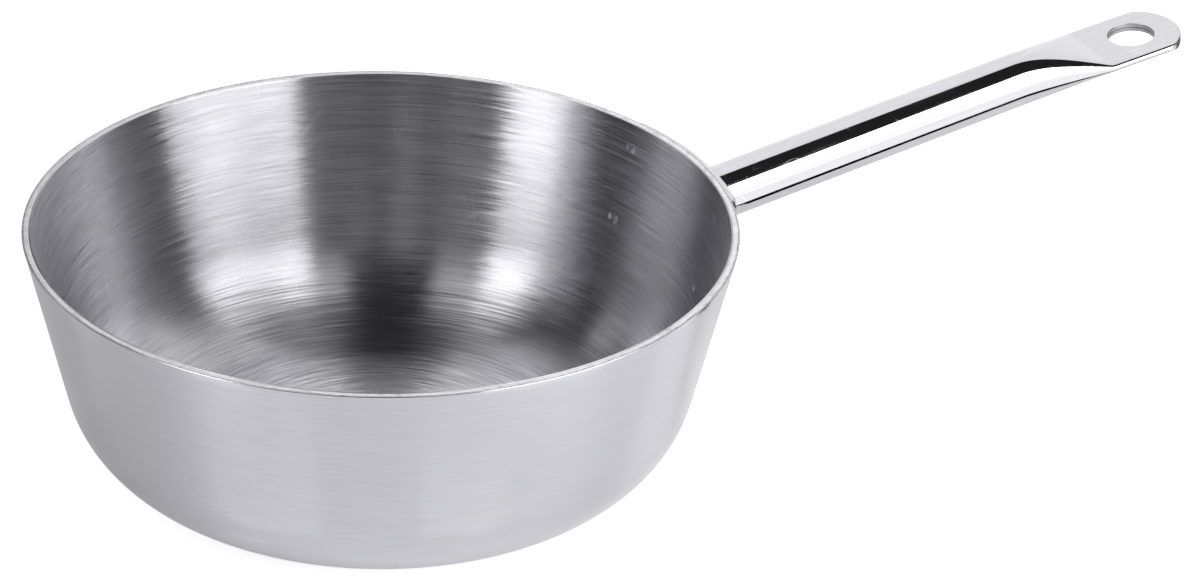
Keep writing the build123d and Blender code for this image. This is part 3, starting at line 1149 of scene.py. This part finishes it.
def card(name, places, radiance):
    """Flat card of even brightness that only reflections see."""
    mesh = bpy.data.meshes.new(name)
    mesh.from_pydata([studio_place(*place) for place in places], [], [range(len(places))])
    finish, tree, shader = new_material(name)
    tree.nodes.remove(shader)
    glow = node(tree, "ShaderNodeEmission", {"Strength": radiance})
    fill(tree, tree.nodes["Material Output"], {"Surface": glow.outputs[0]})
    mesh.materials.append(finish)
    piece = new_object(name, mesh)
    piece.visible_camera = False
    piece.visible_diffuse = False
    piece.visible_shadow = False


def level_card(name, outline, height, radiance):
    """Card that lies level over an outline of places (right, away)."""
    card(name, [(right, away, height) for right, away in outline], radiance)


def studio_world():
    """White to the camera. To the metal a dark room, with a pale band low in front and behind."""
    dark_room = 0.02
    front_band = 0.14
    back_band = 0.18
    band_top = (0.3, 0.5)
    band_side = (0.84, 0.93)
    world = bpy.data.worlds.new("studio")
    world.use_nodes = True
    tree = world.node_tree
    direction = node(tree, "ShaderNodeTexCoord").outputs["Generated"]
    away = towards(tree, direction, 0, 1)
    low = ramp(tree, height_of(tree, direction), *band_top, 1.0, 0.0)
    front = ramp(tree, away, -band_side[1], -band_side[0], front_band, 0.0)
    ends = calc(tree, "ADD", front, ramp(tree, away, *band_side, 0.0, back_band))
    room = calc(tree, "MULTIPLY_ADD", low, ends, dark_room)
    seen = node(tree, "ShaderNodeLightPath").outputs["Is Camera Ray"]
    strength = mix_value(tree, seen, room, 1.0)
    fill(tree, tree.nodes["Background"], {"Color": white, "Strength": strength})
    bpy.context.scene.world = world


def pale_floor():
    """Floor that takes the pan's shadow, glows white to the camera and faintly to reflections.

    To the camera its glow grows with the distance, because the lamps light it less far out. To
    reflections it grows to the right and towards the camera. From below it is clear.
    """
    reach = 6
    lit_reach = (-0.02, 0.08)
    near_reach = (0.2, 0.7)
    far_reach = (1.0, 3.0)
    finish, tree, shader = new_material("pale_floor")
    place = object_place(tree)
    path = node(tree, "ShaderNodeLightPath").outputs
    lit_side = ramp(tree, towards(tree, place, 0.6, -0.8), *lit_reach, 0.14, 0.35)
    bounce = calc(tree, "MULTIPLY", path["Is Glossy Ray"], lit_side)
    distance = measure(tree, "LENGTH", place)
    near = ramp(tree, distance, *near_reach, 0.78, 1.0)
    backdrop = calc(tree, "ADD", near, ramp(tree, distance, *far_reach, 0.0, 0.3))
    fill(tree, shader, {
        "Base Color": (0.8, 0.8, 0.8, 1),
        "Roughness": 0.5,
        "Coat Weight": 1.0,
        "Coat Roughness": 0.06,
        "Emission Color": white,
        "Emission Strength": calc(tree, "MULTIPLY_ADD", path["Is Camera Ray"], backdrop, bounce),
    })
    backfacing = node(tree, "ShaderNodeNewGeometry").outputs["Backfacing"]
    clear = node(tree, "ShaderNodeBsdfTransparent").outputs[0]
    see_through = node(tree, "ShaderNodeMixShader", {0: backfacing, 1: shader.outputs[0], 2: clear})
    fill(tree, tree.nodes["Material Output"], {"Surface": see_through.outputs[0]})
    mesh = bpy.data.meshes.new("floor")
    corners = [(-reach, -reach, 0), (reach, -reach, 0), (reach, reach, 0), (-reach, reach, 0)]
    mesh.from_pydata(corners, [], [(0, 1, 2, 3)])
    mesh.materials.append(finish)
    floor = new_object("floor", mesh)


studio_world()

# Soft boxes on a ring: azimuth, width, lowest edge, highest edge and radiance
soft_boxes = {
    "right_soft_box": (55.5, 0.74, 0.17, 0.79, 4.05),
    "right_low_box": (55.5, 0.74, 0.0, 0.165, 1.5),
    "left_soft_box": (-55.5, 0.3, 0.14, 0.82, 4.4),
    "left_wing_box": (-70.5, 0.12, 0.14, 0.84, 1.2),
    "back_right_box": (122, 0.33, 0.3, 0.8, 2.0),
    "back_left_box": (-114, 0.22, 0.17, 0.58, 1.4),
    "high_left_box": (-162, 0.24, 0.8, 1.25, 6.5),
    "high_right_box": (164, 0.24, 0.8, 1.25, 7.5),
    "high_back_box": (180, 0.18, 0.8, 1.25, 2.2),
    "upper_right_box": (37, 0.54, 0.97, 1.5, 2.7),
    "upper_left_box": (-51, 0.7, 0.97, 1.5, 2.7),
}
for name, values in soft_boxes.items():
    soft_box(name, *values)

# White cove that the handle's polish mirrors, above it and behind it
cove_left = 0.03
cove_right = 0.36
cove_back = 0.45
cove_top = 0.26
cove_glow = 1.1
cove = ((cove_left, 0.21), (0.099, 0.078), (0.349, 0.2), (cove_right, cove_back), (cove_left, cove_back))
back_corners = ((cove_left, 0), (cove_right, 0), (cove_right, cove_top), (cove_left, cove_top))
level_card("cove_overhead", cove, cove_top, cove_glow)
card("cove_behind", [(right, cove_back, height) for right, height in back_corners], cove_glow)

# Bright board on the floor under the handle, with a black edge
board_height = 0.002
board_glow = 1.34
board_start = (0.162, 0.012)
board_end = (0.341, 0.077)
board = (board_start, (0.2, -0.2), (0.6, -0.35), (0.6, 0.17), board_end)
board_edge = (board_start, board_end, (0.332, 0.1), (0.153, 0.034))
level_card("bright_board", board, board_height, board_glow)
level_card("board_edge", board_edge, board_height, 0.0)

pale_floor()
